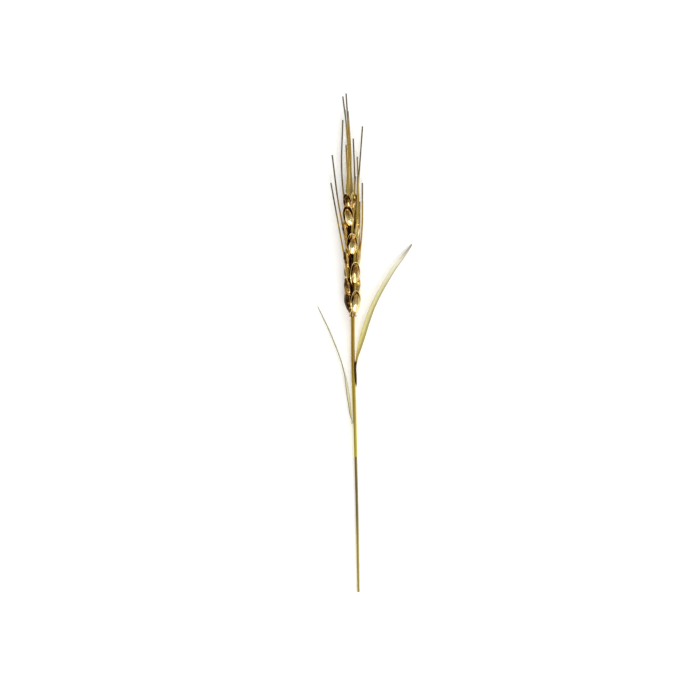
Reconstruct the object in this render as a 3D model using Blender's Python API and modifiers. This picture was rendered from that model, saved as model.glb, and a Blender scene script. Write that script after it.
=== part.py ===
"""A stalk of wheat in polished brass, lying on a surface: stem, sheath, two leaves and the ear.

Sizes are in metres. The stalk lies along +Y with its cut end at -Y, and +Z is up.
The ear is one fused head: husks in crossed pairs, a kernel in each husk and an awn on each husk.
"""

import math

import bmesh
import bpy
from mathutils import Matrix, Vector

# Centre line of the stalk, from the cut end to the last husk
STALK_LINE = (
    (-0.0052, -0.2000, 0.0012),
    (-0.0061, -0.1500, 0.0024),
    (-0.0069, -0.1140, 0.0033),
    (-0.0087, -0.0455, 0.0050),
    (-0.0097, -0.0130, 0.0057),
    (-0.0099, 0.0215, 0.0062),
    (-0.0102, 0.0500, 0.0064),
    (-0.0107, 0.0785, 0.0065),
    (-0.0119, 0.0960, 0.0066),
    (-0.0135, 0.1180, 0.0068),
)

# Stem and sheath; distances are along the stalk from the cut end
STEM_DIAMETER = 0.0024
SHEATH_DIAMETER = 0.0033
SHEATH_START = 0.1090
SHEATH_END = 0.2212
PEG_DIAMETER = 0.0014
PEG_LENGTH = 0.0100
GAP = 0.0003
SHOULDER = 0.0001
ROD_STEP = 0.0120

# Roundness of a rod: its section has twice this number of sides, plus 4
ROD_ROUNDNESS = 4
RACHIS_ROUNDNESS = 2
AWN_ROUNDNESS = 1

# Husk: a spoon with a pointed foot and a round head
HUSK_LENGTH = 0.0212
HUSK_WIDTH = 0.0088
HUSK_DEPTH = 0.0030
HUSK_BOW = 0.0012
HUSK_WALL = 0.00065
HUSK_WIDEST = 0.60
HUSK_FOOT = 0.0002
FOOT_NARROWING = 1.15
HEAD_FULLNESS = 0.965
HUSK_TILT = 13
HUSK_ROOT_RADIUS = 0.0009
HUSK_CELLS = (4, 6)
HEAD_CROWDING = 1.35

# Kernel: a plump oval in the husk's bowl
KERNEL_LENGTH = 0.0138
KERNEL_WIDTH = 0.0061
KERNEL_DEPTH = 0.0052
KERNEL_ALONG = 0.0116
KERNEL_LIFT = 0.0008
KERNEL_TAPER = 0.12
KERNEL_CELLS = (7, 6)

# Awn: a nearly straight blunt wire, rooted in the head of its husk
AWN_DIAMETER = 0.00125
AWN_ROOT = 0.0024
AWN_CELLS = 6
AWN_LOWEST = 0.0008

# The ear's levels: each one's distance from the cut end and the turn of its first husk round
# the stalk, in degrees, 0 facing up and 90 to the right; the second husk is opposite
FIRST_LEVEL = 0.2327
LEVEL_STEP = 0.01143
LEVEL_TURNS = (31, 113, 30, 99, 4, 85, -12)

# Each awn's length and the sideways drift of its middle and its tip, for the two husks of a level
AWNS = (
    ((0.0740, 0.0022, 0.0010), (0.0740, -0.0010, -0.0008)),
    ((0.0775, 0.0037, 0.0049), (0.0775, -0.0064, -0.0141)),
    ((0.0720, 0.0019, 0.0029), (0.0715, 0.0023, 0.0045)),
    ((0.0755, 0.0019, 0.0009), (0.0770, -0.0075, -0.0125)),
    ((0.0785, 0.0022, 0.0011), (0.0740, -0.0024, -0.0043)),
    ((0.0770, 0.0032, 0.0060), (0.0825, -0.0043, -0.0030)),
    ((0.0785, 0.0003, -0.0024), (0.0780, 0.0009, -0.0014)),
)

# Husks outside the pairs, two at the foot of the ear and two at its top: kernel's distance,
# turn, tilt in degrees, size against the others and awn
LONE_HUSKS = (
    (0.2327, 121, 13, 1.0, (0.0740, 0.0024, 0.0030)),
    (0.2327, -59, 13, 1.0, (0.0740, -0.0015, -0.0013)),
    (0.3127, 68, 13, 1.0, (0.0804, -0.0022, -0.0047)),
    (0.3135, -12, 22, 0.76, (0.0790, 0.0012, -0.0032)),
)

# Rachis and collar
RACHIS_DIAMETER = 0.0026
RACHIS_END = 0.3130
COLLAR_LENGTH = 0.0056
COLLAR_FOOT = 0.0030
COLLAR_HEAD = 0.0019
COLLAR_LOBES = 7
LOBE_RISE = 0.0013
LOBE_PINCH = 0.0006

# Leaves: the foot clasps the sheath over a stretch of it, and the free blade follows as
# x, y, z, half width, roll in degrees and curl, the gutter's curvature across the blade
BLADE_WALL = 0.0006
BLADE_CELLS = (4, 28)
CLASP_GAP = 0.0004
CLASP_RADIUS = SHEATH_DIAMETER / 2 + CLASP_GAP + BLADE_WALL / 2
CLASP_CURL = 1 / CLASP_RADIUS
RIGHT_CLASP = ((0.1650, 0.0003), (0.1670, 0.0012), (0.1740, 0.0020), (0.1815, 0.0021))
RIGHT_BLADE = (
    (-0.0056, -0.0105, 0.0059, 0.0021, 66, 330),
    (-0.0036, -0.0010, 0.0066, 0.0022, 34, 220),
    (-0.0014, 0.0072, 0.0070, 0.0023, 20, 150),
    (0.0017, 0.0173, 0.0075, 0.0023, 17, 110),
    (0.0069, 0.0310, 0.0076, 0.0021, 16, 110),
    (0.0144, 0.0455, 0.0068, 0.0020, 16, 110),
    (0.0226, 0.0592, 0.0049, 0.0019, 14, 120),
    (0.0302, 0.0694, 0.0029, 0.0015, 9, 140),
    (0.0378, 0.0797, 0.00031, 0.0004, 0, 160),
)
LEFT_CLASP = ((0.1352, 0.0003), (0.1378, 0.0009))
LEFT_BLADE = (
    (-0.0117, -0.0576, 0.0047, 0.0014, -66, 300),
    (-0.0126, -0.0495, 0.0047, 0.0018, -62, 170),
    (-0.0138, -0.0414, 0.0045, 0.0019, -58, 130),
    (-0.0149, -0.0334, 0.0042, 0.0019, -62, 120),
    (-0.0163, -0.0253, 0.0037, 0.0018, -78, 120),
    (-0.0194, -0.0141, 0.0031, 0.0018, -88, 110),
    (-0.0225, -0.0052, 0.0026, 0.0017, -90, 110),
    (-0.0281, 0.0085, 0.0020, 0.00145, -90, 110),
    (-0.0321, 0.0173, 0.0014, 0.0011, -90, 120),
    (-0.0380, 0.0297, 0.00033, 0.0003, -90, 140),
)

# Colour of the brass, with the roughness of each part
BRASS = (0.80, 0.62, 0.30, 1.0)
ROD_ROUGHNESS = 0.18
LEAF_ROUGHNESS = 0.24
EAR_ROUGHNESS = 0.14

# Edges that bend by more than this angle, in degrees, are shaded sharp
SHARP_ANGLE = 50

# Vertices closer than this are one, and a cut may miss its plane by this much
MERGE_DISTANCE = 0.00001
CUT_TOLERANCE = 0.0000001

# A route's direction is measured over this share of its length
DIRECTION_REACH = 0.002


class Route:
    """A smooth line through points, read by the distance along it, or by marks of its own."""

    def __init__(self, points, marks=None):
        self.points = [Vector(point) for point in points]
        self.marks = marks or [0.0]
        if marks is None:
            for first, second in zip(self.points, self.points[1:]):
                self.marks.append(self.marks[-1] + (second - first).length)
        self.length = self.marks[-1]
        last = len(self.points) - 1
        self.slopes = []
        for i in range(last + 1):
            low, high = max(i - 1, 0), min(i + 1, last)
            rise = self.points[high] - self.points[low]
            self.slopes.append(rise / (self.marks[high] - self.marks[low]))

    def cell(self, distance):
        """Number of the stretch that holds a distance, its length and the share of it passed."""
        i = 0
        while i < len(self.marks) - 2 and distance > self.marks[i + 1]:
            i += 1
        span = self.marks[i + 1] - self.marks[i]
        return i, span, (distance - self.marks[i]) / span

    def point(self, distance):
        i, span, u = self.cell(distance)
        return (
            self.points[i] * (2 * u**3 - 3 * u**2 + 1)
            + self.slopes[i] * (span * (u**3 - 2 * u**2 + u))
            + self.points[i + 1] * (3 * u**2 - 2 * u**3)
            + self.slopes[i + 1] * (span * (u**3 - u**2))
        )

    def direction(self, distance):
        reach = self.length * DIRECTION_REACH
        return (self.point(distance + reach) - self.point(distance - reach)).normalized()

    def frame(self, distance):
        """Matrix at a point of the route: X to its right, Y along it and Z up."""
        along = self.direction(distance)
        right = along.cross(Vector((0, 0, 1))).normalized()
        up = right.cross(along)
        axes = Matrix((right, along, up)).transposed().to_4x4()
        return Matrix.Translation(self.point(distance)) @ axes


def clear_scene():
    for obj in list(bpy.data.objects):
        bpy.data.objects.remove(obj, do_unlink=True)


def new_collection(name):
    collection = bpy.data.collections.new(name)
    bpy.context.scene.collection.children.link(collection)
    return collection


def brass(name, roughness):
    material = bpy.data.materials.new(name)
    material.use_nodes = True
    shader = material.node_tree.nodes["Principled BSDF"]
    shader.inputs["Base Color"].default_value = BRASS
    shader.inputs["Metallic"].default_value = 1.0
    shader.inputs["Roughness"].default_value = roughness
    return material


def link(obj, collection):
    collection.objects.link(obj)
    return obj


def mesh_object(name, shape, collection):
    """Object made from a bmesh, which is freed."""
    mesh = bpy.data.meshes.new(name)
    shape.to_mesh(mesh)
    shape.free()
    return link(bpy.data.objects.new(name, mesh), collection)


def evaluated_mesh(obj):
    bpy.context.view_layer.update()
    graph = bpy.context.evaluated_depsgraph_get()
    return bpy.data.meshes.new_from_object(obj.evaluated_get(graph), depsgraph=graph)


def smooth(obj):
    obj.data.shade_smooth()
    obj.data.set_sharp_from_angle(angle=math.radians(SHARP_ANGLE))


def rod(name, points, diameter, collection, roundness=ROD_ROUNDNESS):
    """Round rod through points given as (place, share of the diameter), with closed ends."""
    data = bpy.data.curves.new(name, "CURVE")
    data.dimensions = "3D"
    data.bevel_depth = diameter / 2
    data.bevel_resolution = roundness
    data.use_fill_caps = True
    line = data.splines.new("POLY")
    line.points.add(len(points) - 1)
    for knot, (place, share) in zip(line.points, points):
        knot.co = (*place, 1)
        knot.radius = share
    curve = link(bpy.data.objects.new(name + "_line", data), collection)
    mesh = evaluated_mesh(curve)
    bpy.data.objects.remove(curve)
    shape = bmesh.new()
    shape.from_mesh(mesh)
    bpy.data.meshes.remove(mesh)
    bmesh.ops.remove_doubles(shape, verts=shape.verts, dist=MERGE_DISTANCE)
    bmesh.ops.recalc_face_normals(shape, faces=shape.faces)
    return mesh_object(name, shape, collection)


def stretch(route, start, end, share=1.0, step=ROD_STEP):
    """Points of a rod along a stretch of a route."""
    cells = max(1, round((end - start) / step))
    marks = [start + (end - start) * i / cells for i in range(cells + 1)]
    return [(route.point(mark), share) for mark in marks]


def make_stem(stalk, collection):
    """Lower rod, cut square, with a peg that stands in the sheath."""
    shoulder = SHEATH_START - GAP
    share = PEG_DIAMETER / STEM_DIAMETER
    points = stretch(stalk, 0, shoulder - SHOULDER)
    points += stretch(stalk, shoulder, shoulder + PEG_LENGTH, share)
    stem = rod("stem", points, STEM_DIAMETER, collection)
    smooth(stem)
    return stem


def make_sheath(stalk, collection, cutters):
    """Upper tube, with a blind socket at each end for a peg."""
    sheath = rod("sheath", stretch(stalk, SHEATH_START, SHEATH_END), SHEATH_DIAMETER, collection)
    bore = PEG_DIAMETER + 2 * GAP
    depth = PEG_LENGTH + GAP
    lower = stretch(stalk, SHEATH_START - depth, SHEATH_START + depth)
    upper = stretch(stalk, SHEATH_END - depth, SHEATH_END + depth)
    for name, points in (("lower_socket", lower), ("upper_socket", upper)):
        cutter = rod(name, points, bore, cutters, RACHIS_ROUNDNESS)
        cutter.hide_render = True
        cutter.display_type = "WIRE"
        cut = sheath.modifiers.new(name, "BOOLEAN")
        cut.operation = "DIFFERENCE"
        cut.object = cutter
    smooth(sheath)
    return sheath


def husk_half_width(t):
    """Half width of the husk at a share of its length: a pointed foot and a round head."""
    if t < HUSK_WIDEST:
        share = math.sin(math.pi / 2 * t / HUSK_WIDEST) ** FOOT_NARROWING
    else:
        share = math.sqrt(1 - (HEAD_FULLNESS * (t - HUSK_WIDEST) / (1 - HUSK_WIDEST)) ** 2)
    return max(HUSK_FOOT, share * HUSK_WIDTH / 2)


def husk_point(t, s):
    """Point of the husk's middle surface, t along it and s from edge to edge, -1 to 1."""
    half = husk_half_width(t)
    rim = HUSK_BOW * math.sin(math.pi * t)
    bowl = HUSK_DEPTH * (2 * half / HUSK_WIDTH) * (1 - s * s)
    return Vector((s * half, t * HUSK_LENGTH, rim - bowl))


def make_husk(name, place, collection):
    shape = bmesh.new()
    across, along = HUSK_CELLS
    bmesh.ops.create_grid(shape, x_segments=across, y_segments=along, size=0.5)
    for vertex in shape.verts:
        t = 1 - (0.5 - vertex.co.y) ** HEAD_CROWDING
        vertex.co = husk_point(t, 2 * vertex.co.x)
    husk = mesh_object(name, shape, collection)
    husk.matrix_world = place
    wall = husk.modifiers.new("wall", "SOLIDIFY")
    wall.thickness = HUSK_WALL / place.median_scale
    wall.offset = 0
    return husk


def make_kernel(name, place, collection):
    shape = bmesh.new()
    around, along = KERNEL_CELLS
    bmesh.ops.create_uvsphere(shape, u_segments=around, v_segments=along, radius=1)
    for vertex in shape.verts:
        x, depth, y = vertex.co
        girth = 1 - KERNEL_TAPER * y
        vertex.co = (
            x * girth * KERNEL_WIDTH / 2,
            y * KERNEL_LENGTH / 2,
            -depth * girth * KERNEL_DEPTH / 2,
        )
    kernel = mesh_object(name, shape, collection)
    kernel.matrix_world = place @ Matrix.Translation((0, KERNEL_ALONG, KERNEL_LIFT))
    return kernel


def make_awn(name, place, awn, collection):
    """Wire from the head of the husk at this place, with its middle and tip drifting sideways."""
    length, middle_drift, tip_drift = awn
    root = place @ husk_point(1 - AWN_ROOT / HUSK_LENGTH, 0)
    middle = lifted(root + Vector((middle_drift, length / 2, 0)))
    tip = lifted(root + Vector((tip_drift, length, 0)))
    route = Route((root, middle, tip))
    points = stretch(route, 0, route.length, step=length / AWN_CELLS)
    return rod(name, points, AWN_DIAMETER, collection, AWN_ROUNDNESS)


def lifted(point):
    """The point, raised where a wire there would lie under the surface."""
    return Vector((point.x, point.y, max(point.z, AWN_LOWEST)))


def husk_place(stalk, kernel_mark, turn, tilt=HUSK_TILT, size=1.0):
    """Matrix of the husk whose kernel lies at this distance, turned round the stalk and leaning out."""
    lean = math.radians(tilt)
    foot = kernel_mark - size * KERNEL_ALONG * math.cos(lean)
    return (
        stalk.frame(foot)
        @ Matrix.Rotation(math.radians(turn), 4, "Y")
        @ Matrix.Translation((0, 0, HUSK_ROOT_RADIUS))
        @ Matrix.Rotation(lean, 4, "X")
        @ Matrix.Scale(size, 4)
    )


def ear_plan(stalk):
    """Name, place and awn of every husk: the pairs level by level, then the lone ones."""
    plan = []
    for level, (turn, awns) in enumerate(zip(LEVEL_TURNS, AWNS)):
        mark = FIRST_LEVEL + level * LEVEL_STEP
        for side, awn in enumerate(awns):
            place = husk_place(stalk, mark, turn + 180 * side)
            plan.append((f"level{level}_{side}", place, awn))
    for number, (mark, turn, tilt, size, awn) in enumerate(LONE_HUSKS):
        plan.append((f"lone_{number}", husk_place(stalk, mark, turn, tilt, size), awn))
    return plan


def make_collar(stalk, collection):
    """Cone under the husks, with its lower edge scalloped in lobes."""
    shape = bmesh.new()
    bmesh.ops.create_cone(
        shape,
        cap_ends=True,
        segments=2 * COLLAR_LOBES,
        radius1=COLLAR_FOOT,
        radius2=COLLAR_HEAD,
        depth=COLLAR_LENGTH,
    )
    for vertex in shape.verts:
        notch = round(math.atan2(vertex.co.y, vertex.co.x) / math.pi * COLLAR_LOBES) % 2
        if vertex.co.z < 0 and notch:
            vertex.co *= 1 - LOBE_PINCH / COLLAR_FOOT
            vertex.co.z += LOBE_RISE
    collar = mesh_object("collar", shape, collection)
    centre = SHEATH_END + GAP + COLLAR_LENGTH / 2
    collar.matrix_world = stalk.frame(centre) @ Matrix.Rotation(math.radians(-90), 4, "X")
    return collar


def make_rachis(stalk, collection):
    """Rod inside the ear, whose lower end is a peg for the sheath."""
    shoulder = SHEATH_END + 2 * GAP
    share = PEG_DIAMETER / RACHIS_DIAMETER
    points = stretch(stalk, SHEATH_END - PEG_LENGTH, shoulder - SHOULDER, share)
    points += stretch(stalk, shoulder, RACHIS_END)
    return rod("ear", points, RACHIS_DIAMETER, collection, RACHIS_ROUNDNESS)


def flatten_underside(obj):
    """Cuts the object level with the surface, which leaves the small flats that it rests on."""
    shape = bmesh.new()
    shape.from_mesh(obj.data)
    geometry = shape.verts[:] + shape.edges[:] + shape.faces[:]
    bmesh.ops.bisect_plane(
        shape,
        geom=geometry,
        dist=CUT_TOLERANCE,
        plane_co=(0, 0, 0),
        plane_no=(0, 0, 1),
        clear_inner=True,
    )
    rims = [edge for edge in shape.edges if edge.is_boundary]
    bmesh.ops.holes_fill(shape, edges=rims)
    shape.to_mesh(obj.data)
    shape.free()


def fill_hollows(obj):
    """Keeps the outer skin alone, so that hollows sealed between husks become solid."""
    shape = bmesh.new()
    shape.from_mesh(obj.data)
    left = set(shape.faces)
    skins = []
    while left:
        skin, front = set(), [left.pop()]
        while front:
            face = front.pop()
            skin.add(face)
            near = {other for edge in face.edges for other in edge.link_faces} & left
            left -= near
            front.extend(near)
        skins.append(skin)
    outer = max(skins, key=len)
    inner = [face for skin in skins if skin is not outer for face in skin]
    bmesh.ops.delete(shape, geom=inner, context="FACES")
    shape.to_mesh(obj.data)
    shape.free()


def make_ear(stalk, collection):
    """The fused head: everything that repeats is joined to the rachis by one union."""
    ear = make_rachis(stalk, collection)
    repeats = new_collection("ear_repeats")
    make_collar(stalk, repeats)
    for name, place, awn in ear_plan(stalk):
        make_husk("husk_" + name, place, repeats)
        make_kernel("kernel_" + name, place, repeats)
        make_awn("awn_" + name, place, awn, repeats)
    union = ear.modifiers.new("union", "BOOLEAN")
    union.operation = "UNION"
    union.solver = "MANIFOLD"
    union.operand_type = "COLLECTION"
    union.collection = repeats
    fused = evaluated_mesh(ear)
    ear.modifiers.clear()
    ear.data = fused
    for obj in list(repeats.objects):
        bpy.data.objects.remove(obj, do_unlink=True)
    bpy.data.collections.remove(repeats)
    fill_hollows(ear)
    flatten_underside(ear)
    smooth(ear)
    return ear


def clasp_rows(stalk, marks, side):
    """Rows of a leaf's foot, which lies against the sheath; side is 1 on the right, -1 on the left."""
    rows = []
    for mark, half in marks:
        place = stalk.frame(mark) @ Vector((side * CLASP_RADIUS, 0, 0))
        rows.append((*place, half, 90 * side, CLASP_CURL))
    return rows


def make_leaf(name, rows, collection):
    """Long blade along its rows, curled across into a gutter and rolled about its line."""
    route = Route([row[:3] for row in rows])
    form = Route([row[3:] for row in rows], route.marks)
    shape = bmesh.new()
    across, along = BLADE_CELLS
    bmesh.ops.create_grid(shape, x_segments=across, y_segments=along, size=0.5)
    for vertex in shape.verts:
        distance = (vertex.co.y + 0.5) * route.length
        half, roll, curl = form.point(distance)
        angle = 2 * vertex.co.x * half * curl
        local = Vector((math.sin(angle) / curl, 0, (1 - math.cos(angle)) / curl))
        turn = Matrix.Rotation(math.radians(-roll), 4, "Y")
        vertex.co = route.frame(distance) @ turn @ local
    leaf = mesh_object(name, shape, collection)
    wall = leaf.modifiers.new("wall", "SOLIDIFY")
    wall.thickness = BLADE_WALL
    wall.offset = 0
    smooth(leaf)
    return leaf


def settle(parts, helpers, collection):
    """Puts the origin under the middle of the parts' box, on the surface that they lie on."""
    bpy.context.view_layer.update()
    graph = bpy.context.evaluated_depsgraph_get()
    corners = []
    for part in parts:
        solid = part.evaluated_get(graph)
        corners += [solid.matrix_world @ Vector(corner) for corner in solid.bound_box]
    low = [min(corner[i] for corner in corners) for i in range(3)]
    high = [max(corner[i] for corner in corners) for i in range(3)]
    holder = link(bpy.data.objects.new("wheat_ear_origin", None), collection)
    for obj in parts + helpers:
        obj.parent = holder
    holder.location = (-(low[0] + high[0]) / 2, -(low[1] + high[1]) / 2, -low[2])


def main():
    clear_scene()
    parts = new_collection("wheat_ear")
    cutters = new_collection("cutters")
    stalk = Route(STALK_LINE)
    stem = make_stem(stalk, parts)
    sheath = make_sheath(stalk, parts, cutters)
    right_rows = clasp_rows(stalk, RIGHT_CLASP, 1) + list(RIGHT_BLADE)
    left_rows = clasp_rows(stalk, LEFT_CLASP, -1) + list(LEFT_BLADE)
    leaf_right = make_leaf("leaf_right", right_rows, parts)
    leaf_left = make_leaf("leaf_left", left_rows, parts)
    ear = make_ear(stalk, parts)
    finishes = (
        (stem, "stem_brass", ROD_ROUGHNESS),
        (sheath, "sheath_brass", ROD_ROUGHNESS),
        (leaf_right, "leaf_right_brass", LEAF_ROUGHNESS),
        (leaf_left, "leaf_left_brass", LEAF_ROUGHNESS),
        (ear, "ear_brass", EAR_ROUGHNESS),
    )
    for part, name, roughness in finishes:
        part.data.materials.append(brass(name, roughness))
    settle([stem, sheath, leaf_right, leaf_left, ear], list(cutters.objects), parts)


main()
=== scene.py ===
# A brass wheat stalk lying on a white table: finish, lights and camera
import math
import random

import bpy
from mathutils import Matrix, Vector, noise


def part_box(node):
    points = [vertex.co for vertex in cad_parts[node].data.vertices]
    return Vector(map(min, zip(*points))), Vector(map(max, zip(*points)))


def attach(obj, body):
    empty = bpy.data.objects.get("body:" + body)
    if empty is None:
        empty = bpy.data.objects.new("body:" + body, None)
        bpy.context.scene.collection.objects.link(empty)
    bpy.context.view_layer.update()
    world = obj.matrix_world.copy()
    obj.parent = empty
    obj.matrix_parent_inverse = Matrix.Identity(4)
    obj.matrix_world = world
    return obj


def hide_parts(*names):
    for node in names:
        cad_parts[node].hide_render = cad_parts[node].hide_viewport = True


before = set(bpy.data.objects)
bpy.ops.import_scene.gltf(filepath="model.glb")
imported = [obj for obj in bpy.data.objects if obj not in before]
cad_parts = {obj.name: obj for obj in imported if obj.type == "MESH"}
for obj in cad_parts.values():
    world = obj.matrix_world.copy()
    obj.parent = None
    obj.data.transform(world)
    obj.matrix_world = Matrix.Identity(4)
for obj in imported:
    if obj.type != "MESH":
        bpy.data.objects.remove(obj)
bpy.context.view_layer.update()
print("frame loaded")

# Camera: straight above the stalk, which runs up the picture
cameraSet = {
    "height": 2.2,
    "viewWidth": 0.5635,  # what the picture spans on the table
    "sensor": 36,
    "centre": (-0.01196, -0.0019),
    "clipEnd": 20,
}


def addCamera():
    x, y = cameraSet["centre"]
    bpy.ops.object.camera_add(location=(x, y, cameraSet["height"]), rotation=(0, 0, 0))
    camera = bpy.context.object
    camera.name = "camera"
    camera.data.sensor_width = cameraSet["sensor"]
    camera.data.lens = cameraSet["sensor"] * cameraSet["height"] / cameraSet["viewWidth"]
    camera.data.clip_end = cameraSet["clipEnd"]
    bpy.context.scene.camera = camera


addCamera()


# Hand tools: a ramp, then hold one object, join, smooth, clean, copy, select, cut, add a wall

def ramp(value, start, full):
    # 0 up to start, 1 from full on
    return min(1, max(0, (value - start) / (full - start)))


def holdOnly(obj):
    bpy.ops.object.select_all(action="DESELECT")
    obj.select_set(True)
    bpy.context.view_layer.objects.active = obj


def joinAll(pieces, name):
    holdOnly(pieces[0])
    for piece in pieces:
        piece.select_set(True)
    bpy.ops.object.join()
    pieces[0].name = name
    pieces[0].data.name = name
    return pieces[0]


def smoothShade(obj, angle=50):
    holdOnly(obj)
    bpy.ops.object.shade_smooth_by_angle(angle=math.radians(angle))


def cleanMesh(obj, distance=0.000002):
    # merges doubles and turns the faces outward
    holdOnly(obj)
    bpy.ops.object.mode_set(mode="EDIT")
    bpy.ops.mesh.select_all(action="SELECT")
    bpy.ops.mesh.remove_doubles(threshold=distance)
    bpy.ops.mesh.normals_make_consistent(inside=False)
    bpy.ops.object.mode_set(mode="OBJECT")


def copyAt(obj, place, name):
    copy = obj.copy()
    copy.data = obj.data.copy()
    copy.name = name
    copy.data.transform(place)
    bpy.context.scene.collection.objects.link(copy)
    return copy


def selectFaces(obj, wanted):
    # faces that pass the test are selected, and edit mode is on
    holdOnly(obj)
    bpy.ops.object.mode_set(mode="EDIT")
    bpy.ops.mesh.select_mode(type="FACE")
    bpy.ops.mesh.select_all(action="DESELECT")
    bpy.ops.object.mode_set(mode="OBJECT")
    for face in obj.data.polygons:
        face.select = wanted(face)
    bpy.ops.object.mode_set(mode="EDIT")


def cutLevel(obj):
    # cuts the piece flat at the table; what lies less than 0.1 mm under it is left
    holdOnly(obj)
    bpy.ops.object.mode_set(mode="EDIT")
    bpy.ops.mesh.select_all(action="SELECT")
    bpy.ops.mesh.bisect(plane_co=(0, 0, 0), plane_no=(0, 0, 1), use_fill=True, clear_inner=True)
    bpy.ops.object.mode_set(mode="OBJECT")


def addWall(sheet, size, offset=0):
    # gives an open sheet its thickness, then rounds its rim
    wall = sheet.modifiers.new("wall", "SOLIDIFY")
    wall.thickness = size["wall"]
    wall.offset = offset
    rim = sheet.modifiers.new("rim", "BEVEL")
    rim.width = size["rim"]
    rim.segments = 2
    rim.limit_method = "ANGLE"
    rim.angle_limit = math.radians(size["rimAngle"])
    holdOnly(sheet)
    for modifier in list(sheet.modifiers):
        bpy.ops.object.modifier_apply(modifier=modifier.name)


# Smooth line through points, read by the distance along it
directionReach = 0.002  # share of the line's length, each way, over which its direction is taken


class Route:
    def __init__(self, points, marks=None):
        self.points = [Vector(point) for point in points]
        self.marks = marks or [0.0]
        if marks is None:
            for first, second in zip(self.points, self.points[1:]):
                self.marks.append(self.marks[-1] + (second - first).length)
        self.length = self.marks[-1]
        last = len(self.points) - 1
        self.slopes = []
        for i in range(last + 1):
            low, high = max(i - 1, 0), min(i + 1, last)
            rise = self.points[high] - self.points[low]
            self.slopes.append(rise / (self.marks[high] - self.marks[low]))

    def pointAt(self, distance):
        i = 0
        while i < len(self.marks) - 2 and distance > self.marks[i + 1]:
            i += 1
        span = self.marks[i + 1] - self.marks[i]
        u = (distance - self.marks[i]) / span
        return (
            self.points[i] * (2 * u**3 - 3 * u**2 + 1)
            + self.slopes[i] * (span * (u**3 - 2 * u**2 + u))
            + self.points[i + 1] * (3 * u**2 - 2 * u**3)
            + self.slopes[i + 1] * (span * (u**3 - u**2))
        )

    def frameAt(self, distance):
        # X to the right of the line, Y along it, Z up
        reach = self.length * directionReach
        along = (self.pointAt(distance + reach) - self.pointAt(distance - reach)).normalized()
        right = along.cross(Vector((0, 0, 1))).normalized()
        axes = Matrix((right, along, right.cross(along))).transposed().to_4x4()
        return Matrix.Translation(self.pointAt(distance)) @ axes


# The stalk's centre line, from the cut end to the last husk, in the frame that it was drawn in
stalkPoints = (
    (-0.0052, -0.2000, 0.0012),
    (-0.0061, -0.1500, 0.0024),
    (-0.0069, -0.1140, 0.0033),
    (-0.0087, -0.0455, 0.0050),
    (-0.0097, -0.0130, 0.0057),
    (-0.0099, 0.0215, 0.0062),
    (-0.0102, 0.0500, 0.0064),
    (-0.0107, 0.0785, 0.0065),
    (-0.0119, 0.0960, 0.0066),
    (-0.0135, 0.1180, 0.0068),
)


def findShift():
    # from the drawing's frame to the CAD frame: the middle of the stem's cut end tells it
    endDepth = 0.001
    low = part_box("stem")[0]
    rim = [v.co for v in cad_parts["stem"].data.vertices if v.co.y < low.y + endDepth]
    middle = [(min(co[i] for co in rim) + max(co[i] for co in rim)) / 2 for i in range(3)]
    return Vector(middle) - Vector(stalkPoints[0])


shift = findShift()
stalk = Route([Vector(point) + shift for point in stalkPoints])

seed = 11
rng = random.Random(seed)
noise.seed_set(seed)  # else the hammered surfaces differ from run to run


# Materials

def noiseNode(tree, coords, scale, detail=3, stretch=(1, 1, 1)):
    mapping = tree.nodes.new("ShaderNodeMapping")
    mapping.inputs["Scale"].default_value = stretch
    tree.links.new(coords, mapping.inputs["Vector"])
    texture = tree.nodes.new("ShaderNodeTexNoise")
    texture.inputs["Scale"].default_value = scale
    texture.inputs["Detail"].default_value = detail
    tree.links.new(mapping.outputs["Vector"], texture.inputs["Vector"])
    return texture.outputs["Fac"]


def rangeNode(tree, value, low, high, fromLow=0.3, fromHigh=0.7):
    spread = tree.nodes.new("ShaderNodeMapRange")
    spread.inputs["From Min"].default_value = fromLow
    spread.inputs["From Max"].default_value = fromHigh
    spread.inputs["To Min"].default_value = low
    spread.inputs["To Max"].default_value = high
    tree.links.new(value, spread.inputs["Value"])
    return spread.outputs["Result"]


def fillSockets(tree, sockets, values):
    for socket, value in zip(sockets, values):
        if isinstance(value, bpy.types.NodeSocket):
            tree.links.new(value, socket)
        else:
            socket.default_value = value


def mixNode(tree, share, first, second):
    mix = tree.nodes.new("ShaderNodeMix")
    mix.data_type = "RGBA"
    fillSockets(tree, (mix.inputs[0], mix.inputs[6], mix.inputs[7]), (share, first, second))
    return mix.outputs[2]


def mathNode(tree, operation, *values):
    node = tree.nodes.new("ShaderNodeMath")
    node.operation = operation
    fillSockets(tree, node.inputs, values)
    return node.outputs[0]


brassSet = {
    "cloudShare": 0.2,  # where the gold turns along Y, the share that clouds still have in it
    "grainDetail": 4,
    "grainDepth": 0.00002,
    "sootAndShadeLevel": 2,  # a darkening runs from 0 to 1, towards the tarnish colour, and on to 2, towards the soot colour; it is partly stain and partly painted shade
}


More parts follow.
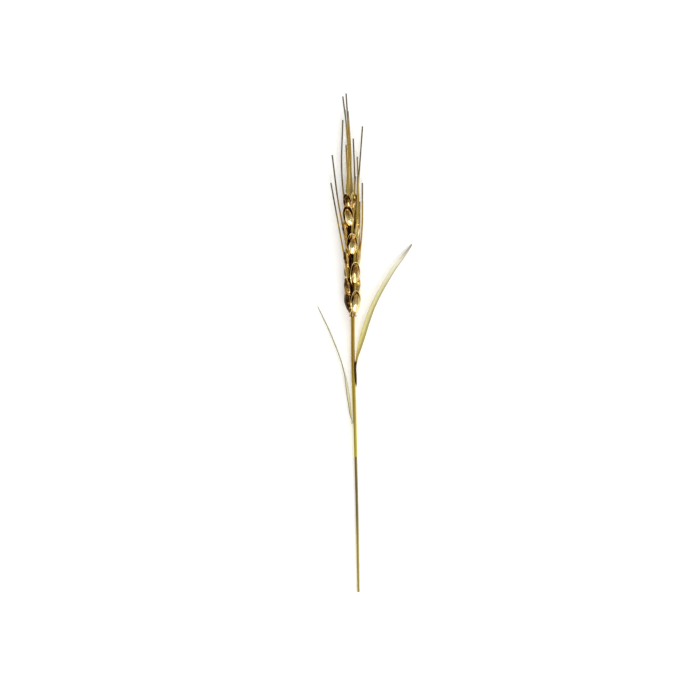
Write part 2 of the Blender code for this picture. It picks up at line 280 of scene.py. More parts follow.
def brass(name, look):
    # look: two golds, where along Y the first turns to the second, the colours of stains and painted
    # shade and how patchy they are, the tint seen at a slant, roughness from and to, grain across
    # and along, scale, strength and depth of dents
    material = bpy.data.materials.new(name)
    material.use_nodes = True
    tree = material.node_tree
    shader = tree.nodes["Principled BSDF"]
    shader.inputs["Metallic"].default_value = 1
    if "edgeTint" in look:
        shader.inputs["Specular Tint"].default_value = look["edgeTint"]
    coords = tree.nodes.new("ShaderNodeTexCoord").outputs["Object"]
    tone = rangeNode(tree, noiseNode(tree, coords, look["cloudScale"]), 0, 1)
    if "turns" in look:
        split = tree.nodes.new("ShaderNodeSeparateXYZ")
        tree.links.new(coords, split.inputs["Vector"])
        along = rangeNode(tree, split.outputs["Y"], 0, 1 - brassSet["cloudShare"], *look["turns"])
        tone = mathNode(tree, "MULTIPLY_ADD", tone, brassSet["cloudShare"], along)
    gold = mixNode(tree, tone, look["gold"], look["deepGold"])
    if "tarnishAndShade" in look:
        # the mesh's darkening attribute, partly stains and partly painted shade, darkens the gold
        stainAndShade = tree.nodes.new("ShaderNodeAttribute")
        stainAndShade.attribute_name = "stainAndShade"
        patches = rangeNode(tree, noiseNode(tree, coords, look["patchScale"]), *look["patches"])
        patchyStainAndShade = mathNode(tree, "MULTIPLY", stainAndShade.outputs["Fac"], patches)
        gold = mixNode(tree, rangeNode(tree, patchyStainAndShade, 0, 1, 0, 1), gold, look["tarnishAndShade"])
        sootAndShadeShare = rangeNode(tree, patchyStainAndShade, 0, 1, 1, brassSet["sootAndShadeLevel"])
        gold = mixNode(tree, sootAndShadeShare, gold, look["sootAndShade"])
    tree.links.new(gold, shader.inputs["Base Color"])
    grain = noiseNode(tree, coords, look["grainScale"], brassSet["grainDetail"], look["grainStretch"])
    rough = rangeNode(tree, grain, *look["roughness"])
    tree.links.new(rough, shader.inputs["Roughness"])
    lines = tree.nodes.new("ShaderNodeBump")
    lines.inputs["Strength"].default_value = look["grainStrength"]
    lines.inputs["Distance"].default_value = brassSet["grainDepth"]
    tree.links.new(grain, lines.inputs["Height"])
    dents = tree.nodes.new("ShaderNodeBump")
    dents.inputs["Strength"].default_value = look["dentStrength"]
    dents.inputs["Distance"].default_value = look["dentDepth"]
    tree.links.new(noiseNode(tree, coords, look["dentScale"], 1), dents.inputs["Height"])
    tree.links.new(lines.outputs["Normal"], dents.inputs["Normal"])
    tree.links.new(dents.outputs["Normal"], shader.inputs["Normal"])
    return material


stemLook = {
    "gold": (0.88, 0.76, 0.30, 1),
    "deepGold": (0.31, 0.245, 0.12, 1),
    "turns": (-0.20, -0.13),
    "cloudScale": 60,
    "roughness": (0.12, 0.26),
    "grainScale": 900,
    "grainStretch": (1, 0.03, 1),
    "grainStrength": 0.25,
    "dentScale": 260,
    "dentStrength": 0.15,
    "dentDepth": 0.0001,
}
sheathLook = dict(
    stemLook, gold=(0.86, 0.79, 0.22, 1), deepGold=(0.60, 0.35, 0.035, 1), turns=(-0.075, -0.01)
)
awnLook = dict(
    stemLook, gold=(0.74, 0.53, 0.11, 1), deepGold=(0.45, 0.31, 0.08, 1), turns=(0.08, 0.19),
    tarnishAndShade=(0.36, 0.34, 0.25, 1), sootAndShade=(0.10, 0.055, 0.02, 1), patches=(0.8, 1.0), patchScale=200,
)
# painted light: the leaf's gold turns paler, near white, towards its tip
leafLook = {
    "gold": (0.85, 0.78, 0.27, 1),
    "deepGold": (0.98, 0.97, 0.86, 1),
    "turns": (0.01, 0.075),
    "cloudScale": 60,
    "tarnishAndShade": (0.10, 0.055, 0.02, 1),
    "sootAndShade": (0.04, 0.02, 0.01, 1),
    "edgeTint": (0.60, 0.48, 0.25, 1),
    "patches": (0.8, 1.0),
    "patchScale": 200,
    "roughness": (0.46, 0.58),
    "grainScale": 1400,
    "grainStretch": (1, 0.05, 1),
    "grainStrength": 0.3,
    "dentScale": 300,
    "dentStrength": 0.2,
    "dentDepth": 0.0001,
}
# the left leaf's own copy of the leaf brass: paler low down, where its face reflects the white table, a
# painted reflection, and darker further up
paleLeafLook = dict(
    leafLook, gold=(0.96, 0.97, 0.84, 1), deepGold=(0.80, 0.79, 0.53, 1), turns=(-0.04, 0.0),
    tarnishAndShade=(0.13, 0.11, 0.04, 1),
)
huskLook = {
    "gold": (0.86, 0.74, 0.36, 1),
    "deepGold": (0.76, 0.54, 0.18, 1),
    "cloudScale": 160,
    "tarnishAndShade": (0.40, 0.21, 0.055, 1),
    "sootAndShade": (0.055, 0.026, 0.009, 1),
    "patches": (0.55, 1.35),
    "patchScale": 420,
    "roughness": (0.10, 0.24),
    "grainScale": 1200,
    "grainStretch": (1, 0.4, 1),
    "grainStrength": 0.15,
    "dentScale": 300,
    "dentStrength": 0.6,
    "dentDepth": 0.00015,
}
kernelLook = dict(
    huskLook, gold=(0.98, 0.93, 0.60, 1), deepGold=(0.94, 0.80, 0.34, 1), tarnishAndShade=(0.46, 0.26, 0.06, 1),
    sootAndShade=(0.06, 0.028, 0.008, 1), dentScale=430, dentStrength=1.0, dentDepth=0.00035,
)

stemBrass = brass("stemBrass", stemLook)
sheathBrass = brass("sheathBrass", sheathLook)
leafBrass = brass("leafBrass", leafLook)
paleLeafBrass = brass("paleLeafBrass", paleLeafLook)
huskBrass = brass("huskBrass", huskLook)
kernelBrass = brass("kernelBrass", kernelLook)
awnBrass = brass("awnBrass", awnLook)
print("materials made")


def finishPiece(piece, material, slot, *nodes):
    piece.data.materials.clear()
    piece.data.materials.append(material)
    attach(piece, "root")
    if nodes:
        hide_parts(*nodes)


# Wires and rods
wireSteps = 3  # pieces between two knots


def addWire(name, route, start, end, radius, knots, roundness=3, swell=None):
    bpy.ops.curve.primitive_bezier_curve_add()
    curve = bpy.context.object
    curve.name = name
    line = curve.data.splines[0]
    line.bezier_points.add(knots - 2)
    for i, knot in enumerate(line.bezier_points):
        mark = start + (end - start) * i / (knots - 1)
        knot.co = route.pointAt(mark)
        knot.radius = swell(mark) if swell else 1
        knot.handle_left_type = knot.handle_right_type = "AUTO"
    curve.data.resolution_u = wireSteps
    curve.data.bevel_depth = radius
    curve.data.bevel_resolution = roundness
    curve.data.use_fill_caps = True
    holdOnly(curve)
    bpy.ops.object.convert(target="MESH")
    wire = bpy.context.object
    cleanMesh(wire)
    return wire


def isCap(face):
    # only the cut ends have more corners than four
    return len(face.vertices) > 4


def roundEnds(wire, offset, segments=2):
    # takes the sharp edge off both cut ends
    selectFaces(wire, isCap)
    bpy.ops.mesh.bevel(offset=offset, segments=segments, affect="EDGES")
    bpy.ops.object.mode_set(mode="OBJECT")


stemSize = {
    "diameter": 0.0024,
    "end": 0.1089,  # distance from the cut end to the shoulder
    "intoSheath": 0.004,
    "knots": 40,
    "roundness": 8,
    "cutBevel": 0.00018,
    "bevelSteps": 3,
}
sheathSize = {
    "diameter": 0.0033,
    "start": 0.1090,
    "end": 0.2212,
    "knots": 40,
    "roundness": 8,
    "bevel": 0.00012,
    "rimReach": 0.0001,  # faces this near to the lower end belong to its rim
    "rimInset": 0.00035,
    "rimFold": 0.00003,
    "rimDepth": 0.0006,
}


def makeStem():
    # runs on a little into the sheath, so that the joint is closed
    end = stemSize["end"] + stemSize["intoSheath"]
    stem = addWire(
        "stem_rod", stalk, 0, end, stemSize["diameter"] / 2, stemSize["knots"], stemSize["roundness"]
    )
    roundEnds(stem, stemSize["cutBevel"], stemSize["bevelSteps"])
    smoothShade(stem)
    finishPiece(stem, stemBrass, "stem_brass", "stem")


def makeSheath():
    sheath = addWire(
        "sheath_tube", stalk, sheathSize["start"], sheathSize["end"], sheathSize["diameter"] / 2,
        sheathSize["knots"], sheathSize["roundness"],
    )
    roundEnds(sheath, sheathSize["bevel"])
    # the lower rim is rolled in towards the stem
    bottom = min(v.co.y for v in sheath.data.vertices) + sheathSize["rimReach"]
    selectFaces(sheath, lambda face: isCap(face) and face.center.y < bottom)
    bpy.ops.mesh.inset(thickness=sheathSize["rimInset"], depth=0)
    bpy.ops.mesh.inset(thickness=sheathSize["rimFold"], depth=-sheathSize["rimDepth"])
    bpy.ops.object.mode_set(mode="OBJECT")
    smoothShade(sheath)
    finishPiece(sheath, sheathBrass, "sheath_brass", "sheath")


makeStem()
makeSheath()
print("stem and sheath done")

# Leaves
leafSize = {
    "wall": 0.0005,
    "rim": 0.0001,
    "rimAngle": 50,
    "smoothAngle": 60,
    "across": 28,
    "along": 260,
    "veins": 7,
    "veinHeight": 0.00006,
    "ribDepth": 0.00022,
    "ribWidth": 0.13,  # share of the half width
    "reliefFade": 0.4,  # the lower, the nearer to its ends the leaf keeps its veins
    "reliefHalf": 0.0015,  # where the leaf's half width is less, the relief is shallower
    "crumple": 0.00016,
    "crumpleScale": (1.2, 130),  # across and along
    "crumplePlace": 3.7,
    "claspGap": 0.0004,
    "cadWall": 0.0006,
    "footDarkFade": 0.0015,
    "marginStart": 0.6,  # share of the half width
    "lowerStart": 0.2,
    "tipStart": 0.86,  # share of the leaf's length
    "lowerShade": 0.5,
    "upperDark": 0.1,
    "tipDark": 0.9,
    "leftShade": 0.8,
}
# clasps: distance along the stalk and half width
rightClasp = ((0.1650, 0.0003), (0.1670, 0.0012), (0.1740, 0.0020), (0.1815, 0.0021))
leftClasp = ((0.1352, 0.0003), (0.1378, 0.0009))
# blades: x, y, z, half width, roll in degrees and curl, the gutter's curvature
rightBlade = (
    (-0.0056, -0.0105, 0.0059, 0.0021, 66, 330),
    (-0.0036, -0.0010, 0.0066, 0.0022, 34, 220),
    (-0.0014, 0.0072, 0.0070, 0.0023, 20, 150),
    (0.0017, 0.0173, 0.0075, 0.0023, 17, 110),
    (0.0069, 0.0310, 0.0076, 0.0021, 16, 110),
    (0.0144, 0.0455, 0.0068, 0.0020, 16, 110),
    (0.0226, 0.0592, 0.0049, 0.0019, 14, 120),
    (0.0302, 0.0694, 0.0029, 0.0015, 9, 140),
    (0.0378, 0.0797, 0.00031, 0.0004, 0, 160),
)
leftBlade = (
    (-0.0117, -0.0576, 0.0047, 0.0014, -66, 300),
    (-0.0126, -0.0495, 0.0047, 0.0018, -62, 170),
    (-0.0138, -0.0414, 0.0045, 0.0019, -58, 130),
    (-0.0149, -0.0334, 0.0042, 0.0019, -62, 120),
    (-0.0163, -0.0253, 0.0037, 0.0018, -78, 120),
    (-0.0194, -0.0141, 0.0031, 0.0018, -88, 110),
    (-0.0225, -0.0052, 0.0026, 0.0017, -90, 110),
    (-0.0281, 0.0085, 0.0020, 0.00145, -90, 110),
    (-0.0321, 0.0173, 0.0014, 0.0011, -90, 120),
    (-0.0380, 0.0297, 0.00033, 0.0003, -90, 140),
)
# the dark along each leaf's foot: where along the leaf it starts and ends, and how deep it is
rightFootDark = (0.0025, 0.0215, 1.5)
leftFootDark = (0.0, 0.0040, 1.0)


def leafRows(clasp, blade, side):
    radius = sheathSize["diameter"] / 2 + leafSize["claspGap"] + leafSize["cadWall"] / 2
    rows = []
    for mark, half in clasp:
        place = stalk.frameAt(mark) @ Vector((side * radius, 0, 0))
        rows.append((*place, half, 90 * side, 1 / radius))
    for row in blade:
        rows.append((*(Vector(row[:3]) + shift), *row[3:]))
    return rows


def leafRelief(across, distance, share, half):
    # pressed veins and a rib groove, which fade at both ends, and a slow unevenness of the sheet
    fade = math.sin(math.pi * ramp(share, 0, 1)) ** leafSize["reliefFade"]
    veins = leafSize["veinHeight"] * math.cos(math.pi * leafSize["veins"] * across)
    rib = leafSize["ribDepth"] * math.exp(-((across / leafSize["ribWidth"]) ** 2))
    acrossScale, alongScale = leafSize["crumpleScale"]
    spot = Vector((across * acrossScale, distance * alongScale, leafSize["crumplePlace"]))
    relief = fade * (veins - rib + leafSize["crumple"] * noise.noise(spot))
    return relief * min(1, half / leafSize["reliefHalf"])


def makeLeaf(name, rows, footDark, darkAt, material, node):
    # darkAt: how dark the leaf is elsewhere than along its foot
    footDarkStart, footDarkEnd, footDarkDepth = footDark
    fade = leafSize["footDarkFade"]
    route = Route([row[:3] for row in rows])
    form = Route([row[3:] for row in rows], route.marks)
    bpy.ops.mesh.primitive_grid_add(
        x_subdivisions=leafSize["across"], y_subdivisions=leafSize["along"], size=1
    )
    leaf = bpy.context.object
    leaf.name = name
    stainAndShade = leaf.data.attributes.new("stainAndShade", "FLOAT", "POINT")
    for vertex in leaf.data.vertices:
        across = 2 * vertex.co.x
        share = vertex.co.y + 0.5
        distance = share * route.length
        half, roll, curl = form.pointAt(distance)
        dark = ramp(distance, footDarkStart - fade, footDarkStart)
        dark *= ramp(distance, footDarkEnd, footDarkEnd - fade)
        stainAndShade.data[vertex.index].value = max(footDarkDepth * dark, darkAt(share, across))
        angle = across * half * curl
        reach = 1 / curl - leafRelief(across, distance, share, half)
        local = Vector((math.sin(angle) * reach, 0, 1 / curl - math.cos(angle) * reach))
        turn = Matrix.Rotation(math.radians(-roll), 4, "Y")
        vertex.co = route.frameAt(distance) @ turn @ local
        # the middle of the sheet stays half a wall above the table
        vertex.co.z = max(vertex.co.z, leafSize["wall"] / 2)
    addWall(leaf, leafSize)
    smoothShade(leaf, leafSize["smoothAngle"])
    finishPiece(leaf, material, "leaf_brass", node)


def rightDarkening(share, across):
    # painted shade: the lower half is darker towards its edge. The other edge is a little darker too,
    # and the last stretch to the tip darkest
    lower = leafSize["lowerShade"] * ramp(across, leafSize["lowerStart"], 1)
    upper = leafSize["upperDark"] * ramp(-across, leafSize["marginStart"], 1)
    return max(lower, upper, leafSize["tipDark"] * ramp(share, leafSize["tipStart"], 1))


def leftShade(share, across):
    # painted shade: the left leaf is darker along both its edges
    return leafSize["leftShade"] * ramp(abs(across), leafSize["marginStart"], 1)


rightRows = leafRows(rightClasp, rightBlade, 1)
leftRows = leafRows(leftClasp, leftBlade, -1)
makeLeaf("leaf_right_blade", rightRows, rightFootDark, rightDarkening, leafBrass, "leaf_right")
makeLeaf("leaf_left_blade", leftRows, leftFootDark, leftShade, paleLeafBrass, "leaf_left")
print("leaves done")

# The ear: husks in crossed pairs up the stalk, each with its kernel and its awn
huskSize = {
    "length": 0.0212,
    "width": 0.0088,
    "depth": 0.0030,
    "bow": 0.0012,
    "wall": 0.00055,
    "rim": 0.00014,
    "rimAngle": 60,
    "widest": 0.60,
    "foot": 0.0002,
    "footNarrowing": 1.15,
    "headFullness": 0.965,
    "tilt": 13,
    "rootRadius": 0.0009,
    "across": 20,
    "along": 34,
    "crowding": 1.35,
    "keel": 0.00022,
    "keelWidth": 0.13,  # share of the half width
    "ribs": 0.00007,
    "ribCount": 5,
    "reliefFade": 0.7,  # the lower, the nearer to its ends the husk keeps its keel and ribs
    "reliefShift": 0.02,
    "brightRim": 0.9,  # shares of the half width and of the length
    "brightHead": 0.955,
    "insideStart": 0.2,  # share of the wall
    "rimDark": 0.3,
    "hammer": 0.00018,  # how uneven the sheet is
    "hammerScale": 330,
    "insideShade": 0.8,
    "leftShade": 0.85,
    "sideShadeRange": (0.2, 2),
    "sideReach": 0.004,  # this far left or right the painted shade of the insides differs by the whole leftShade
    "deep": 0.0024,  # distance from the stalk's line where the painted shade is full
    "deepFade": 0.0015,
    "openTop": 0.309,  # from here up the head is open and has no painted shade
    "openFade": 0.004,
}
kernelSize = {
    "length": 0.0146,
    "width": 0.0065,
    "depth": 0.0052,
    "along": 0.0116,
    "lift": 0.0009,
    "aside": 0.00035,  # each kernel lies a little to one side in its cup
    "taper": 0.12,
    "segments": 36,
    "rings": 22,
    "smoothAngle": 60,
    "crease": 0.0004,
    "creaseWidth": 0.2,  # share of the half width
    "creaseMiddle": 0.25,  # shares of the half length
    "creaseLength": 0.45,
    "creaseShade": 0.6,
    "shade": 1.4,
    "shadeLeft": 1.4,
    "hammer": 0.00042,
    "roll": 12,  # degrees that a kernel may be turned about its length
    "sway": 9,  # degrees that it may lie askew
    "growth": 0.05,
    "levelShade": (0.0, 0.1, 0.4, 0.1, 0.2, 0.1, 0.0),
}
awnSize = {
    "diameter": 0.00125,
    "root": 0.0024,
    "lowest": 0.0008,
    "knots": 12,
    "tipBevel": 0.00018,
    "rootSwell": 0.8,
    "rootFade": 0.016,
    "darkRoot": 0.06,  # shares of the awn's length
    "greyFade": 0.14,
    "tipDark": 1.45,
}
earSize = {
    "firstLevel": 0.2327,
    "levelStep": 0.01143,
    "turns": (31, 113, 30, 99, 4, 85, -12),
}
# each awn's length, the sideways drift of its middle and its tip, and the share of it that is grey,
# for both husks of a level
awnPairs = (
    ((0.0740, 0.0022, 0.0010, 0.20), (0.0740, -0.0010, -0.0008, 0.10)),
    ((0.0775, 0.0046, 0.0049, 0.25), (0.0775, -0.0071, -0.0141, 0.40)),
    ((0.0720, 0.0019, 0.0029, 0.10), (0.0715, 0.0023, 0.0045, 0.20)),
    ((0.0755, 0.0019, 0.0009, 0.05), (0.0770, -0.0075, -0.0125, 0.55)),
    ((0.0785, 0.0022, 0.0011, 0.50), (0.0740, -0.0024, -0.0043, 0.10)),
    ((0.0770, 0.0032, 0.0060, 0.60), (0.0825, -0.0039, -0.0030, 0.75)),
    ((0.0785, 0.0003, -0.0024, 0.15), (0.0780, 0.0009, -0.0014, 0.15)),
)
# husks outside the pairs: kernel's distance, turn, tilt, size, awn, and the kernel's painted shade
loneHusks = (
    (0.2327, 121, 13, 1.0, (0.0740, 0.0024, 0.0030, 0.10), 0.0),
    (0.2327, -59, 13, 1.0, (0.0740, -0.0015, -0.0013, 0.30), 0.9),
    (0.3127, 68, 13, 1.0, (0.0804, -0.0022, -0.0047, 0.35), 0.8),
    (0.3135, -12, 22, 0.76, (0.0790, 0.0012, -0.0032, 0.35), 1.0),
)


def huskHalfWidth(t):
    # a pointed foot and a round head
    widest = huskSize["widest"]
    if t < widest:
        share = math.sin(math.pi / 2 * max(t, 0) / widest) ** huskSize["footNarrowing"]
    else:
        share = math.sqrt(1 - (huskSize["headFullness"] * (t - widest) / (1 - widest)) ** 2)
    return max(huskSize["foot"], share * huskSize["width"] / 2)


def huskPoint(t, s):
    # point of the bowl, t along it from the foot and s across it, -1 to 1
    half = huskHalfWidth(t)
    rim = huskSize["bow"] * math.sin(math.pi * t)
    bowl = huskSize["depth"] * (2 * half / huskSize["width"]) * (1 - s * s)
    return Vector((s * half, t * huskSize["length"], rim - bowl))


def huskPlace(kernelMark, turn, tilt, size):
    # where the husk stands whose kernel lies at this distance up the stalk
    lean = math.radians(tilt)
    foot = kernelMark - size * kernelSize["along"] * math.cos(lean)
    return (
        stalk.frameAt(foot)
        @ Matrix.Rotation(math.radians(turn), 4, "Y")
        @ Matrix.Translation((0, 0, huskSize["rootRadius"]))
        @ Matrix.Rotation(lean, 4, "X")
        @ Matrix.Scale(size, 4)
    )


def earPlan():
    # place, awn and kernel's painted shade of every husk
    plan = []
    levels = zip(earSize["turns"], awnPairs, kernelSize["levelShade"])
    for level, (turn, awns, shade) in enumerate(levels):
        mark = earSize["firstLevel"] + level * earSize["levelStep"]
        for side, awn in enumerate(awns):
            plan.append((huskPlace(mark, turn + 180 * side, huskSize["tilt"], 1), awn, shade))
    for mark, turn, tilt, size, awn, shade in loneHusks:
        plan.append((huskPlace(mark, turn, tilt, size), awn, shade))
    return plan


def huskRelief(t, s):
    # a keel and ribs on the back
    fade = math.sin(math.pi * min(1, t + huskSize["reliefShift"])) ** huskSize["reliefFade"]
    keel = huskSize["keel"] * math.exp(-((s / huskSize["keelWidth"]) ** 2))
    waves = 0.5 + 0.5 * math.cos(huskSize["ribCount"] * math.pi * s)
    return fade * (keel + huskSize["ribs"] * waves * (1 - s * s))


def modelHusk():
    # a cup pressed from sheet: a grid, bent to a bowl with relief, then its wall and rounded rim
    bpy.ops.mesh.primitive_grid_add(
        x_subdivisions=huskSize["across"], y_subdivisions=huskSize["along"], size=1
    )
    husk = bpy.context.object
    husk.name = "husk"
    for vertex in husk.data.vertices:
        t = 1 - (0.5 - vertex.co.y) ** huskSize["crowding"]
        s = 2 * vertex.co.x
        point = huskPoint(t, s)
        point.z -= huskRelief(t, s)
        vertex.co = point
    addWall(husk, huskSize)
    # painted shade: the inside of the cup is darkened, up to a lighter rim; the rim is a little darker
    # than the outside
    stainAndShade = husk.data.attributes.new("stainAndShade", "FLOAT", "POINT")
    for vertex in husk.data.vertices:
        share = vertex.co.y / huskSize["length"]
        t = ramp(share, 0, 1)
        s = vertex.co.x / huskHalfWidth(t)
        inside = vertex.co.z - huskPoint(t, s).z > huskSize["wall"] * huskSize["insideStart"]
        if inside and abs(s) < huskSize["brightRim"] and share < huskSize["brightHead"]:
            stainAndShade.data[vertex.index].value = 1
        elif abs(s) > huskSize["brightRim"]:
            stainAndShade.data[vertex.index].value = huskSize["rimDark"]
    return husk


def modelKernel():
    # a plump oval, a little fuller towards its foot, with a shallow crease down its face
    bpy.ops.mesh.primitive_uv_sphere_add(
        segments=kernelSize["segments"], ring_count=kernelSize["rings"], radius=1
    )
    kernel = bpy.context.object
    kernel.name = "kernel"
    stainAndShade = kernel.data.attributes.new("stainAndShade", "FLOAT", "POINT")
    for vertex in kernel.data.vertices:
        x, depth, y = vertex.co
        girth = 1 - kernelSize["taper"] * y
        crease = math.exp(-((x / kernelSize["creaseWidth"]) ** 2))
        crease *= math.exp(-(((y - kernelSize["creaseMiddle"]) / kernelSize["creaseLength"]) ** 2))
        height = -depth * girth * kernelSize["depth"] / 2
        if height > 0:
            height -= kernelSize["crease"] * crease
        vertex.co = (x * girth * kernelSize["width"] / 2, y * kernelSize["length"] / 2, height)
        # painted shade: darker towards its head and in its crease
        dark = kernelSize["shade"] * max(0, y) + kernelSize["creaseShade"] * crease
        stainAndShade.data[vertex.index].value = dark
    return kernel


def seatKernel(kernel, place, shade, name):
    # each kernel lies a little askew in its cup; painted shade: those that face left are darker
    seat = Matrix.Translation((kernelSize["aside"], kernelSize["along"], kernelSize["lift"]))
    roll = Matrix.Rotation(math.radians(rng.uniform(-kernelSize["roll"], kernelSize["roll"])), 4, "Y")
    sway = Matrix.Rotation(math.radians(rng.uniform(-1, 1) * kernelSize["sway"]), 4, "Z")
    growth = Matrix.Scale(1 + rng.uniform(-1, 1) * kernelSize["growth"], 4)
    seated = copyAt(kernel, place @ seat @ sway @ roll @ growth, name)
    facing = (place.to_3x3() @ Vector((0, 0, 1))).normalized()
    darker = shade + kernelSize["shadeLeft"] * max(0, -facing.x)
    for mark in seated.data.attributes["stainAndShade"].data:
        mark.value += darker
    return seated


def awnSwell(distance):
    # an awn grows out of its husk's head as a thicker root
    return 1 + awnSize["rootSwell"] * math.exp(-((distance / awnSize["rootFade"]) ** 2))


def greyAwn(wire, grey):
    # darker at its root, painted shade where it leaves the husk, and grey towards its tip, over the
    # share given
    stainAndShade = wire.data.attributes.new("stainAndShade", "FLOAT", "POINT")
    low = min(v.co.y for v in wire.data.vertices)
    high = max(v.co.y for v in wire.data.vertices)
    for vertex in wire.data.vertices:
        share = (vertex.co.y - low) / (high - low)
        root = math.exp(-((share / awnSize["darkRoot"]) ** 2))
        tip = awnSize["tipDark"] * ramp(share, 1 - grey, 1 - grey + awnSize["greyFade"])
        stainAndShade.data[vertex.index].value = max(root, tip)


def growAwn(place, awn, name):
    # a nearly straight wire from the head of the husk at this place
    length, middleDrift, tipDrift, grey = awn
    root = place @ huskPoint(1 - awnSize["root"] / huskSize["length"], 0)
    middle = root + Vector((middleDrift, length / 2, 0))
    tip = root + Vector((tipDrift, length, 0))
    for point in (middle, tip):
        point.z = max(point.z, awnSize["lowest"])
    route = Route((root, middle, tip))
    wire = addWire(
        name, route, 0, route.length, awnSize["diameter"] / 2, awnSize["knots"], swell=awnSwell
    )
    roundEnds(wire, awnSize["tipBevel"])
    greyAwn(wire, grey)
    return wire


def hammer(piece, depth):
    # cast metal is never quite even
    for vertex in piece.data.vertices:
        vertex.co += depth * noise.noise_vector(vertex.co * huskSize["hammerScale"])


def shadeHusks(husks):
    # painted shade: the head is darkened deep in, near the stalk, and the insides of the cups are
    # darker on the left
    stainAndShade = husks.data.attributes["stainAndShade"].data
    lowest, highest = huskSize["sideShadeRange"]
    for vertex in husks.data.vertices:
        mark = vertex.co.y - stalk.points[0].y
        away = vertex.co - stalk.pointAt(mark)
        depth = math.hypot(away.x, away.z)
        deep = ramp(depth, huskSize["deep"] + huskSize["deepFade"], huskSize["deep"])
        deep *= ramp(mark, huskSize["openTop"], huskSize["openTop"] - huskSize["openFade"])
        side = huskSize["insideShade"] - huskSize["leftShade"] * away.x / huskSize["sideReach"]
        inside = stainAndShade[vertex.index].value * min(highest, max(lowest, side))
        stainAndShade[vertex.index].value = max(brassSet["sootAndShadeLevel"] * deep, inside)


def makeEar():
    husk = modelHusk()
    kernel = modelKernel()
    husks = []
    kernels = []
    awns = []
    for number, (place, awn, shade) in enumerate(earPlan()):
        husks.append(copyAt(husk, place, f"husk{number}"))
        kernels.append(seatKernel(kernel, place, shade, f"kernel{number}"))
        awns.append(growAwn(place, awn, f"awn{number}"))
    for model in (husk, kernel):
        bpy.data.objects.remove(model)
    husks = joinAll(husks, "ear_husks")
    kernels = joinAll(kernels, "ear_kernels")
    awns = joinAll(awns, "ear_awns")
    shadeHusks(husks)
    hammer(husks, huskSize["hammer"])
    hammer(kernels, kernelSize["hammer"])
    for piece in (husks, kernels, awns):
        cutLevel(piece)
    smoothShade(husks)
    smoothShade(kernels, kernelSize["smoothAngle"])
    smoothShade(awns)
    for piece, material in ((husks, huskBrass), (kernels, kernelBrass), (awns, awnBrass)):
        finishPiece(piece, material, "ear_brass", "ear")


makeEar()
print("husks, kernels and awns done")

# The rachis and the scalloped collar at its foot
rachisSize = {
    "diameter": 0.0026,
    "intoSheath": 0.001,
    "end": 0.3130,
    "knots": 60,
    "roundness": 6,
    "swell": 0.12,
}
collarSize = {
    "length": 0.0056,
    "footRadius": 0.0030,
    "headRadius": 0.0019,
    "around": 112,
    "along": 12,
    "seam": 0.000005,  # where the sheet meets itself, points closer than this are one
    "lobes": 7,
    "lobePower": 0.7,  # the lower, the fuller the lobes
    "rise": 0.0022,
    "flare": 0.8,  # the lower, the sooner the cone widens
    "pinch": 0.0010,
    "pinchMiddle": 0.8,  # what is lobe past this stands out, and the notches go in
    "stainAndShade": 0.25,
    "notchShade": 2.2,
    "wall": 0.0004,
    "rim": 0.00009,
    "rimAngle": 60,
    "gap": 0.0003,
}


def rachisSwell(mark):
    # thicker where each pair of husks stands
    turns = (mark - earSize["firstLevel"]) / earSize["levelStep"]
    return 1 + rachisSize["swell"] * math.cos(2 * math.pi * turns)


def makeRachis():
    rachis = addWire(
        "ear_rachis", stalk, sheathSize["end"] - rachisSize["intoSheath"], rachisSize["end"],
        rachisSize["diameter"] / 2, rachisSize["knots"], rachisSize["roundness"], rachisSwell,
    )
    # painted shade: the rachis lies deep inside the ear and is darkened all over
    stainAndShade = rachis.data.attributes.new("stainAndShade", "FLOAT", "POINT")
    for mark in stainAndShade.data:
        mark.value = brassSet["sootAndShadeLevel"]
    smoothShade(rachis)
    finishPiece(rachis, huskBrass, "ear_brass")


def makeCollar():
    # a sheet rolled into a cone, its lower edge cut in round lobes that turn outward
    length, rise = collarSize["length"], collarSize["rise"]
    bpy.ops.mesh.primitive_grid_add(
        x_subdivisions=collarSize["around"], y_subdivisions=collarSize["along"], size=1
    )
    collar = bpy.context.object
    collar.name = "ear_collar"
    stainAndShade = collar.data.attributes.new("stainAndShade", "FLOAT", "POINT")
    place = stalk.frameAt(sheathSize["end"] + collarSize["gap"] + length / 2)
    span = collarSize["footRadius"] - collarSize["headRadius"]
    for vertex in collar.data.vertices:
        angle = 2 * math.pi * vertex.co.x
        down = 0.5 - vertex.co.y  # 0 at the head, 1 at the foot
        lobe = abs(math.cos(collarSize["lobes"] * angle / 2)) ** collarSize["lobePower"]
        radius = collarSize["headRadius"] + span * down ** collarSize["flare"]
        radius += collarSize["pinch"] * (lobe - collarSize["pinchMiddle"]) * down**2
        along = length / 2 - down * (length - rise * (1 - lobe))
        vertex.co = place @ Vector((math.sin(angle) * radius, along, math.cos(angle) * radius))
        # painted shade in the notches, deeper towards the foot, over a slight darkening of the whole
        # collar
        notch = collarSize["notchShade"] * (1 - lobe) * down
        stainAndShade.data[vertex.index].value = collarSize["stainAndShade"] + notch
    cleanMesh(collar, collarSize["seam"])
    addWall(collar, collarSize, -1)
    smoothShade(collar)
    finishPiece(collar, huskBrass, "ear_brass")


makeRachis()
makeCollar()
print("rachis and collar done")

# Table, room and lights
stageSet = {
    "tableSize": 8,
    "drop": 0.00005,  # how far the table lies under zero, where the stalk rests
    "tableColour": (0.93, 0.93, 0.93, 1),
    "tableRoughness": 0.9,
    "tableShine": 0.1,
    "tableGlow": 0.13,
    "white": (1, 1, 1, 1),  # of the glow and of the walls
    "roomLeft": (0.30, 0.275, 0.23, 1),
    "roomRight": (0.55, 0.52, 0.44, 1),
    "leftToRight": (-0.5, 0.5),  # between these the dim ceiling's left turns to its right
    "wallTop": (0.10, 0.30),  # between these heights the low walls at the sides end
    "wallEnds": (0.25, 0.55),  # between these the ceiling ends and the high walls begin
    "lightAim": (0, 0.05, 0),
}
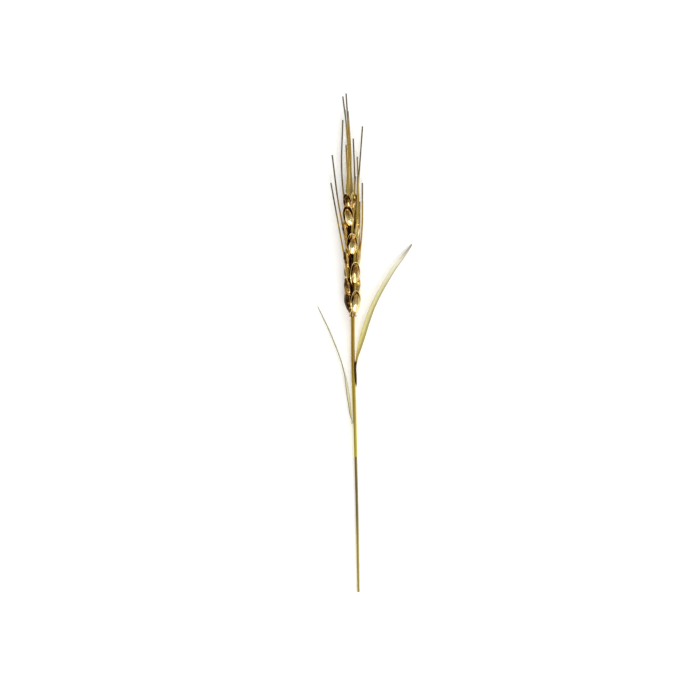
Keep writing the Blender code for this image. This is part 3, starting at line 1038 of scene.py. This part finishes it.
# softboxes past the two ends of the stalk: place, size and power
softboxes = {
    "key": ((0.30, -1.10, 1.25), (1.2, 1.0), 9),
    "back": ((0.45, 1.30, 0.75), (0.8, 0.5), 6),
    "spark": ((0.12, -0.90, 1.10), (0.25, 0.25), 2.6),  # small and bright, for the kernels' highlights
}


def makeTable():
    bpy.ops.mesh.primitive_plane_add(size=stageSet["tableSize"], location=(0, 0, -stageSet["drop"]))
    table = bpy.context.object
    table.name = "table"
    paper = bpy.data.materials.new("paper")
    paper.use_nodes = True
    shader = paper.node_tree.nodes["Principled BSDF"]
    shader.inputs["Base Color"].default_value = stageSet["tableColour"]
    shader.inputs["Roughness"].default_value = stageSet["tableRoughness"]
    shader.inputs["Specular IOR Level"].default_value = stageSet["tableShine"]
    shader.inputs["Emission Color"].default_value = stageSet["white"]
    shader.inputs["Emission Strength"].default_value = stageSet["tableGlow"]
    table.data.materials.append(paper)


def makeWorld():
    # white walls, high at the two ends of the stalk and low at its sides,
    # and a dim ceiling, darker on the left
    world = bpy.data.worlds.new("room")
    bpy.context.scene.world = world
    world.use_nodes = True
    tree = world.node_tree
    coords = tree.nodes.new("ShaderNodeTexCoord")
    split = tree.nodes.new("ShaderNodeSeparateXYZ")
    tree.links.new(coords.outputs["Generated"], split.inputs["Vector"])
    side = rangeNode(tree, split.outputs["X"], 0, 1, *stageSet["leftToRight"])
    room = mixNode(tree, side, stageSet["roomLeft"], stageSet["roomRight"])
    height = rangeNode(tree, split.outputs["Z"], 0, 1, *stageSet["wallTop"])
    towardsEnd = mathNode(tree, "ABSOLUTE", split.outputs["Y"])
    sides = rangeNode(tree, towardsEnd, 1, 0, *stageSet["wallEnds"])
    light = mixNode(tree, mathNode(tree, "MULTIPLY", height, sides), stageSet["white"], room)
    tree.links.new(light, tree.nodes["Background"].inputs["Color"])


def makeLights():
    for name, (place, size, power) in softboxes.items():
        aim = (Vector(stageSet["lightAim"]) - Vector(place)).to_track_quat("-Z", "Y").to_euler()
        bpy.ops.object.light_add(type="AREA", location=place, rotation=aim)
        box = bpy.context.object
        box.name = name
        box.data.shape = "RECTANGLE"
        box.data.energy = power
        box.data.size, box.data.size_y = size


makeTable()
makeWorld()
makeLights()
bpy.context.scene.view_settings.view_transform = "Standard"
print("table and light done")
